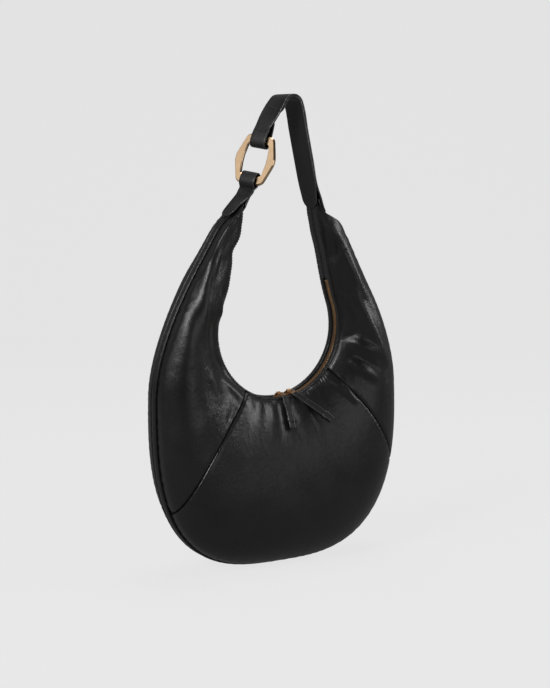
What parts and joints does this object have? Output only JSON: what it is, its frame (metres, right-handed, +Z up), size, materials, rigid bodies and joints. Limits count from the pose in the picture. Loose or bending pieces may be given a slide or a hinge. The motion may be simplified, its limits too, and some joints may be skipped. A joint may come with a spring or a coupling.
{
  "type": "crescent hobo bag",
  "caption": "Crescent hobo bag in soft black leather with a curved zip round its inner edge and a short strap joined to one horn by a gold link.",
  "frame": {"origin": "middle of the base, on the surface the bag stands on", "axes": "+X towards the horn with the sewn strap, -Y out of the front, +Z up"},
  "size_m": [0.2944, 0.1001, 0.5066],
  "materials": {
    "body_leather": "smooth polished nappa",
    "trim_leather": "smooth polished nappa",
    "strap_leather": "satin, edges painted",
    "zip_tape": "matt woven",
    "zip_metal": "polished, copper toned",
    "link_metal": "polished pale gold",
    "lining": "matt woven"
  },
  "bodies": {
    "body": {"front_left_panel": "body_leather", "front_centre_panel": "body_leather", "front_right_panel": "body_leather", "back_left_panel": "body_leather", "back_centre_panel": "body_leather", "back_right_panel": "body_leather", "gusset": "trim_leather", "front_piping": "trim_leather", "back_piping": "trim_leather", "front_facing": "trim_leather", "back_facing": "trim_leather", "zip_tape_front": "zip_tape", "zip_tape_back": "zip_tape", "zip_teeth_front": "zip_metal", "zip_teeth_back": "zip_metal", "zip_stop_left": "zip_metal", "zip_stop_right": "zip_metal", "lining_front": "lining", "lining_back": "lining", "lining_gusset": "lining"},
    "slider_left": {"zip_slider_left": "zip_metal"},
    "puller_left": {"zip_puller_left": "zip_metal"},
    "tab_left": {"pull_tab_left": "strap_leather"},
    "slider_right": {"zip_slider_right": "zip_metal"},
    "puller_right": {"zip_puller_right": "zip_metal"},
    "tab_right": {"pull_tab_right": "strap_leather"},
    "handle": {"strap_outer": "strap_leather", "strap_lining": "strap_leather", "left_loop_tab": "strap_leather"},
    "link": {"chain_link": "link_metal"}
  },
  "joints": [
    {"name": "slide_left", "type": "hinge", "parent": "body", "child": "slider_left", "pos_m": [0, 0, 0.257], "axis": [0, 1, 0], "range_deg": [0, 108]},
    {"name": "lift_left", "type": "hinge", "parent": "slider_left", "child": "puller_left", "pos_m": [0.00437, 0, 0.18553], "axis": [-0.9981, 0, -0.061], "range_deg": [0, 120]},
    {"name": "tab_left", "type": "hinge", "parent": "puller_left", "child": "tab_left", "pos_m": [0.00437, -0.0117, 0.18553], "axis": [-0.9957, 0.0698, -0.0609], "range_deg": [0, 30]},
    {"name": "slide_right", "type": "hinge", "parent": "body", "child": "slider_right", "pos_m": [0, 0, 0.257], "axis": [0, -1, 0], "range_deg": [0, 91]},
    {"name": "lift_right", "type": "hinge", "parent": "slider_right", "child": "puller_right", "pos_m": [0.01672, 0, 0.18738], "axis": [-0.9724, 0, -0.2334], "range_deg": [0, 120]},
    {"name": "tab_right", "type": "hinge", "parent": "puller_right", "child": "tab_right", "pos_m": [0.01672, -0.0117, 0.18738], "axis": [-0.6506, -0.7431, -0.1562], "range_deg": [0, 30]},
    {"name": "handle_swing", "type": "hinge", "parent": "body", "child": "handle", "pos_m": [-0.001, 0, 0.394], "axis": [0.9991, 0, 0.0425], "range_deg": [-30, 30]},
    {"name": "link_rock", "type": "hinge", "parent": "handle", "child": "link", "pos_m": [-0.0308, 0, 0.41708], "axis": [-0.4465, 0.8829, 0.1451], "range_deg": [-1.8, 1.8]}
  ],
  "couplings": [
    {"joint": "tab_left", "follows": "slide_left", "ratio": 0.26},
    {"joint": "tab_right", "follows": "slide_right", "ratio": 0.2}
  ]
}
